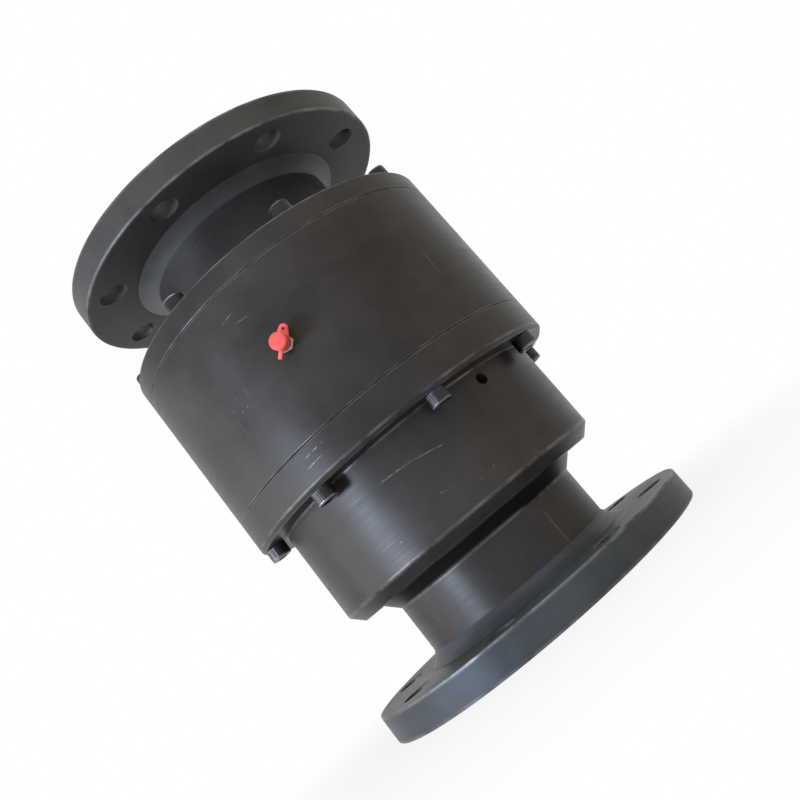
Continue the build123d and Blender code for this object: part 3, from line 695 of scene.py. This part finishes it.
def makeTopCover():
    c = coverLook
    low, high = level["housingTop"], level["coverTop"]
    outline = [
        (c["bore"], low + c["recess"]), (c["spigotInner"], low + c["recess"]),
        (c["spigotInner"], low - c["spigot"]), (radii["bearing"] - fitGap, low - c["spigot"]),
        (radii["bearing"] - fitGap, low, 0.3), (radii["housing"] - seam, low, 0.4),
        (radii["housing"], low + seam, 0.5), (radii["housing"], high - c["edge"], 0.8),
        (radii["housing"] - c["edge"], high, 0.8), (c["wiperSeat"], high),
        (c["wiperSeat"], high - c["wiperDepth"]), (c["bore"], high - c["wiperDepth"]),
    ]
    return smooth(lathe("topCover", outline, finish["housing"]))


topCover = makeTopCover()
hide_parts("top_cover")
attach(topCover, "fixed_body")
print("fixed body done")

tubeLook = {"end": 93.0, "threadStart": 185.0, "seat": 85.0, "shoulderLow": 302.0, "shoulder": 94.0,
            "shoulderHigh": 309.0, "top": 408.5}


def makeRotorTube():
    t = tubeLook
    outline = [
        (radii["bore"], t["end"]), (radii["tube"], t["end"], 2.5), (radii["tube"], t["threadStart"] - 1),
        (t["seat"], t["threadStart"]), (t["seat"], t["shoulderLow"]), (t["shoulder"], t["shoulderLow"]),
        (t["shoulder"], t["shoulderHigh"], 2.0), (radii["tube"], t["shoulderHigh"]),
        (radii["tube"], t["top"]), (radii["bore"], t["top"]),
    ]
    return smooth(lathe("rotorTube", outline, finish["tube"]))


rotorTube = makeRotorTube()
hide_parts("rotor_tube")
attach(rotorTube, "rotor")

screwLook = {"circle": 130.0, "count": 8, "phase": 15.5, "headRadius": 8.0, "headHeight": 10.0, "shank": 5.0,
             "socket": 4.62, "socketDepth": 5.0, "knurls": 36, "knurlDepth": 0.16, "bevel": 0.7}


def capScrewMesh(name, seat, way, length):
    # One cap screw on the axis: knurled head with a hexagon socket, way is the shank's direction along Z
    s = screwLook
    teeth = s["knurls"] * 4
    headEnd = seat - way * s["headHeight"]

    def ring(radius, height, wear, knurl=0.0, hexagon=False):
        row = []
        for k in range(teeth):
            angle = 2 * pi * k / teeth
            r = radius - knurl * (0.5 - 0.5 * cos(angle * s["knurls"]))
            if hexagon:
                r = radius * cos(pi / 6) / cos((angle + pi / 6) % (pi / 3) - pi / 6)
            row.append((r * cos(angle) * mm, r * sin(angle) * mm, height * mm))
        return row, wear

    depth = s["knurlDepth"]
    rows = [
        ring(s["shank"], seat + way * length, 0.0),
        ring(s["shank"], seat, 0.0),
        ring(s["headRadius"] - 0.5, seat, 0.6),
        ring(s["headRadius"], seat - way * 0.5, 0.8, depth),
        ring(s["headRadius"], seat - way * 1.2, 0.0, depth),
        ring(s["headRadius"], headEnd + way * 1.9, 0.0, depth),
        ring(s["headRadius"], headEnd + way * 1.2, 0.9, depth),
        ring(s["headRadius"] - 0.35, headEnd + way * 0.35, 1.0),
        ring(s["headRadius"] - s["bevel"] - 0.35, headEnd, 0.8),
        ring(s["socket"] + 1.2, headEnd, 0.0),
        ring(s["socket"] + 0.35, headEnd, 0.5, 0.0, True),
        ring(s["socket"], headEnd + way * 0.4, 0.4, 0.0, True),
        ring(s["socket"], headEnd + way * s["socketDepth"], 0.0, 0.0, True),
    ]
    vertices, wear = [], []
    for row, worn in rows:
        vertices.extend(row)
        wear.extend([worn] * teeth)
    faces = stackedFaces(len(rows), teeth)
    return smooth(faceOutwards(meshObject(name, vertices, faces, finish["screw"], wear)))


def boltCircleTree():
    # Geometry Nodes: the piece's own mesh repeated on a circle
    tree = bpy.data.node_groups.new("boltCircle", "GeometryNodeTree")
    sockets = tree.interface
    sockets.new_socket(name="Geometry", in_out="INPUT", socket_type="NodeSocketGeometry")
    ids = {}
    kinds = {"Count": "NodeSocketInt", "Radius": "NodeSocketFloat", "Phase": "NodeSocketFloat",
             "Material": "NodeSocketMaterial"}
    for label, kind in kinds.items():
        ids[label] = sockets.new_socket(name=label, in_out="INPUT", socket_type=kind).identifier
    sockets.new_socket(name="Geometry", in_out="OUTPUT", socket_type="NodeSocketGeometry")
    given, result = tree.nodes.new("NodeGroupInput"), tree.nodes.new("NodeGroupOutput")
    circle = tree.nodes.new("GeometryNodeMeshCircle")
    turn = tree.nodes.new("GeometryNodeTransform")
    angles = tree.nodes.new("ShaderNodeCombineXYZ")
    spread = tree.nodes.new("GeometryNodeInstanceOnPoints")
    spin = tree.nodes.new("FunctionNodeRandomValue")
    spinAngles = tree.nodes.new("ShaderNodeCombineXYZ")
    solid = tree.nodes.new("GeometryNodeRealizeInstances")
    paint = tree.nodes.new("GeometryNodeSetMaterial")
    spin.inputs["Seed"].default_value = 7
    spin.inputs[3].default_value = 1.0
    links = tree.links
    links.new(given.outputs["Count"], circle.inputs["Vertices"])
    links.new(given.outputs["Radius"], circle.inputs["Radius"])
    links.new(circle.outputs["Mesh"], turn.inputs["Geometry"])
    links.new(given.outputs["Phase"], angles.inputs["Z"])
    links.new(angles.outputs[0], turn.inputs["Rotation"])
    links.new(turn.outputs["Geometry"], spread.inputs["Points"])
    links.new(given.outputs["Geometry"], spread.inputs["Instance"])
    links.new(spin.outputs[1], spinAngles.inputs["Z"])
    links.new(spinAngles.outputs[0], spread.inputs["Rotation"])
    links.new(spread.outputs["Instances"], solid.inputs["Geometry"])
    links.new(solid.outputs["Geometry"], paint.inputs["Geometry"])
    links.new(given.outputs["Material"], paint.inputs["Material"])
    links.new(paint.outputs["Geometry"], result.inputs["Geometry"])
    return tree, ids


boltCircle, boltIds = boltCircleTree()


def ringOfScrews(name, node, seat, way, length):
    piece = capScrewMesh(name, seat, way, length)
    modifier = piece.modifiers.new("ring", "NODES")
    modifier.node_group = boltCircle
    modifier[boltIds["Count"]] = screwLook["count"]
    modifier[boltIds["Radius"]] = screwLook["circle"] * mm
    modifier[boltIds["Phase"]] = radians(screwLook["phase"])
    modifier[boltIds["Material"]] = finish["screw"]
    applyModifiers(piece)
    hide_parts(node)
    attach(piece, "fixed_body")


coverSeat = level["coverTop"]
ringSeat = bodyLook["ringBottom"]
ringOfScrews("coverScrews", "top_cover_screws", coverSeat, -1, coverSeat - bottomOf("top_cover_screws"))
ringOfScrews("ringScrews", "lower_ring_screws", ringSeat, 1, topOf("lower_ring_screws") - ringSeat)
print("screws done")


softEdges = {"nipple": 0.35, "cap": 0.45, "sharpAngle": 32, "segments": 2}


def fromNode(name, node, material, bevel):
    # A merged copy of a CAD node with softened edges
    mesh = nodes[node].data.copy()
    mesh.name = name
    builder = bmesh.new()
    builder.from_mesh(mesh)
    bmesh.ops.remove_doubles(builder, verts=builder.verts, dist=1e-6)
    bmesh.ops.dissolve_limit(
        builder, angle_limit=radians(1.0), verts=builder.verts, edges=builder.edges,
        use_dissolve_boundaries=False)
    limit = radians(softEdges["sharpAngle"])
    sharp = [e for e in builder.edges if len(e.link_faces) == 2 and e.calc_face_angle(0.0) > limit]
    bmesh.ops.bevel(
        builder, geom=sharp, offset=bevel * mm, offset_type="OFFSET", segments=softEdges["segments"],
        profile=0.5, affect="EDGES", clamp_overlap=True)
    builder.to_mesh(mesh)
    builder.free()
    mesh.materials.clear()
    mesh.materials.append(material)
    for attribute in [a.name for a in mesh.attributes if a.name == "custom_normal"]:
        mesh.attributes.remove(mesh.attributes[attribute])
    piece = bpy.data.objects.new(name, mesh)
    scene.collection.objects.link(piece)
    return smooth(piece, 40)


nipple = fromNode("greaseNipple", "grease_nipple", finish["nipple"], softEdges["nipple"])
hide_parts("grease_nipple")
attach(nipple, "fixed_body")

cap = fromNode("dustCap", "dust_cap", finish["cap"], softEdges["cap"])
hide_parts("dust_cap")
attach(cap, "cap")
print("nipple and cap done")

carried = {
    "lower_inner_weld": "flange", "upper_inner_weld": "upperFlange",
    "cover_o_ring": "rubber", "body_o_ring": "rubber", "carrier_o_rings": "rubber",
    "upper_seal_energiser": "rubber", "lower_seal_energiser": "rubber",
    "upper_seal_ring": "slide", "lower_seal_ring": "slide",
    "grease_seal": "rubber", "wiper_seal": "rubber",
    "upper_bearing_inner_ring": "bearing", "upper_bearing_outer_ring": "bearing",
    "lower_bearing_inner_ring": "bearing", "lower_bearing_outer_ring": "bearing",
    "upper_bearing_balls": "bearing", "lower_bearing_balls": "bearing",
    "upper_bearing_cage": "cage", "lower_bearing_cage": "cage",
    "outer_spacer": "machined", "inner_spacer": "machined", "lock_nut": "machined", "lock_washer": "machined",
    "seal_carrier": "machined", "carrier_circlip": "machined", "guide_bush": "bronze",
    "nipple_ball": "bearing", "nipple_spring": "bearing",
}
for node, look in carried.items():
    slots = nodes[node].material_slots
    for slot in slots:
        slot.material = finish[look]
    if not slots:
        nodes[node].data.materials.append(finish[look])
print("carried over:", len(carried))

studio = {"floor": rgb(0.52, 0.52, 0.52), "floorRough": 0.9, "reach": 6.0, "nearGlow": 0.84, "farGlow": 1.0,
          "fadeStart": 0.15, "fadeEnd": 0.40, "world": 0.38, "aim": (0, 0, 0.2)}


def backgroundRays(tree):
    # 1 for the rays that see the white background
    path = tree.nodes.new("ShaderNodeLightPath")
    seen = math2(tree, "MAXIMUM", path.outputs["Is Camera Ray"], path.outputs["Is Glossy Ray"])
    return math2(tree, "MAXIMUM", seen, path.outputs["Is Transmission Ray"])


def makeFloor():
    mesh = bpy.data.meshes.new("floor")
    reach = studio["reach"]
    corners = [(-reach, -reach, 0), (reach, -reach, 0), (reach, reach, 0), (-reach, reach, 0)]
    mesh.from_pydata(corners, [], [(0, 1, 2, 3)])
    material = bpy.data.materials.new("floorPaper")
    material.use_nodes = True
    tree = material.node_tree
    shader = tree.nodes["Principled BSDF"]
    shader.inputs["Base Color"].default_value = studio["floor"]
    shader.inputs["Roughness"].default_value = studio["floorRough"]
    glow = tree.nodes.new("ShaderNodeEmission")
    mixer = tree.nodes.new("ShaderNodeMixShader")
    seen = backgroundRays(tree)
    x, y, _ = splitXyz(tree, objectPlace(tree))
    away = axisDistance(tree, x, y)
    glowing = remap(tree, away, studio["fadeStart"], studio["fadeEnd"], studio["nearGlow"], studio["farGlow"])
    tree.links.new(math2(tree, "MULTIPLY", seen, glowing), mixer.inputs[0])
    tree.links.new(shader.outputs[0], mixer.inputs[1])
    tree.links.new(glow.outputs[0], mixer.inputs[2])
    tree.links.new(mixer.outputs[0], tree.nodes["Material Output"].inputs[0])
    mesh.materials.append(material)
    floor = bpy.data.objects.new("floor", mesh)
    scene.collection.objects.link(floor)
    floor.location.z = -0.0002


def makeWorld():
    world = bpy.data.worlds.new("studio")
    world.use_nodes = True
    scene.world = world
    tree = world.node_tree
    back = tree.nodes["Background"]
    seen = backgroundRays(tree)
    tree.links.new(remap(tree, seen, 0.0, 1.0, studio["world"], 1.0), back.inputs["Strength"])
    back.inputs["Color"].default_value = rgb(1.0, 1.0, 1.0)


def areaLight(name, place, target, size, power, colour):
    light = bpy.data.lights.new(name, "AREA")
    light.shape = "RECTANGLE"
    light.size, light.size_y = size
    light.energy = power
    light.color = colour
    lamp = bpy.data.objects.new(name, light)
    lamp.location = place
    lamp.rotation_euler = (Vector(target) - Vector(place)).to_track_quat("-Z", "Y").to_euler()
    scene.collection.objects.link(lamp)


cameraLook = {"distance": 0.696, "height": 0.0769, "yaw": 0.070, "pitch": 0.210, "roll": -0.701,
              "focal": 39.38, "shiftX": -0.0093, "shiftY": -0.0643}


def makeCamera():
    # Seen from near the floor, a little upwards, with the view rolled
    look = cameraLook
    cy, sy, cp, sp = cos(look["yaw"]), sin(look["yaw"]), cos(look["pitch"]), sin(look["pitch"])
    forward = Vector((sy * cp, cy * cp, sp))
    flat = Vector((cy, -sy, 0.0))
    upright = flat.cross(forward)
    cr, sr = cos(look["roll"]), sin(look["roll"])
    right = flat * cr + upright * sr
    up = upright * cr - flat * sr
    data = bpy.data.cameras.new("camera")
    data.sensor_width = 36.0
    data.lens = look["focal"]
    data.shift_x, data.shift_y = look["shiftX"], look["shiftY"]
    data.clip_start = 0.01
    camera = bpy.data.objects.new("camera", data)
    camera.matrix_world = Matrix((right, up, -forward)).transposed().to_4x4()
    camera.location = (0.0, -look["distance"], look["height"])
    scene.collection.objects.link(camera)
    scene.camera = camera


# Place and size in metres, power in watts, colour
lamps = {
    "windowLow": ((-1.30, -0.95, 0.17), (0.38, 0.32), 30.0, (0.58, 0.72, 1.0)),
    "fillRight": ((1.5, -0.9, 0.06), (1.3, 0.12), 1.8, (1.0, 1.0, 0.98)),
    "windowSide": ((-1.6, -0.25, 0.24), (1.1, 0.50), 8.5, (0.93, 0.96, 1.0)),
    "topSoft": ((0.3, -0.7, 2.0), (2.2, 2.2), 30.0, (1.0, 0.99, 0.97)),
    "warmRight": ((1.2, 1.5, 0.5), (0.9, 1.2), 0.6, (1.0, 0.96, 0.88)),
}
makeFloor()
makeWorld()
for name, (place, size, power, colour) in lamps.items():
    areaLight(name, place, studio["aim"], size, power, colour)
makeCamera()
print("stage done")
